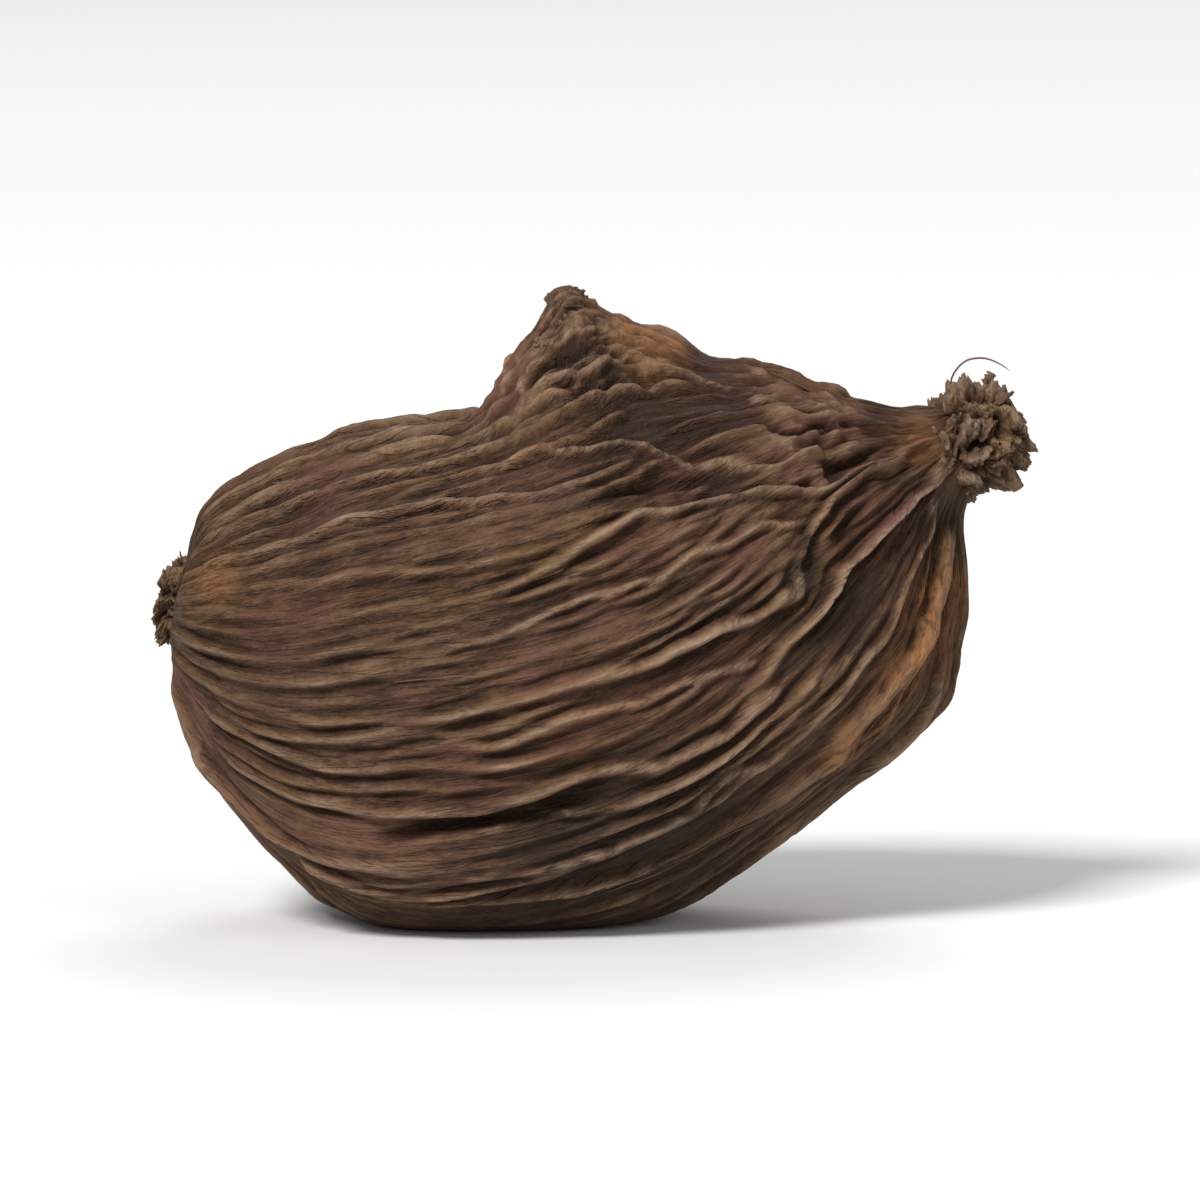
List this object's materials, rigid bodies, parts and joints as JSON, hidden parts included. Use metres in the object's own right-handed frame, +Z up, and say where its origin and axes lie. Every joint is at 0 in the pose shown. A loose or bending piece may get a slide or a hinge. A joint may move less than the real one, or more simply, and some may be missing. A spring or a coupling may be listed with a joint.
{
  "type": "black cardamom pod",
  "caption": "Dried ribbed three-angled spice capsule lying on its flattened belly, with a raised top edge and a bent neck ending in a withered flower stump.",
  "frame": {"origin": "on the resting plane, under the middle of the pod's bounding box", "axes": "+Z up, +X along the pod from its stalk scar to its flower stump, -Y towards the side that the picture shows"},
  "size_m": [0.031, 0.0202, 0.0228],
  "materials": {
    "husk": "dry fibrous husk, matt brown with paler rib crests and rusty worn edges"
  },
  "bodies": {
    "root": {"pod": "husk"}
  },
  "joints": []
}
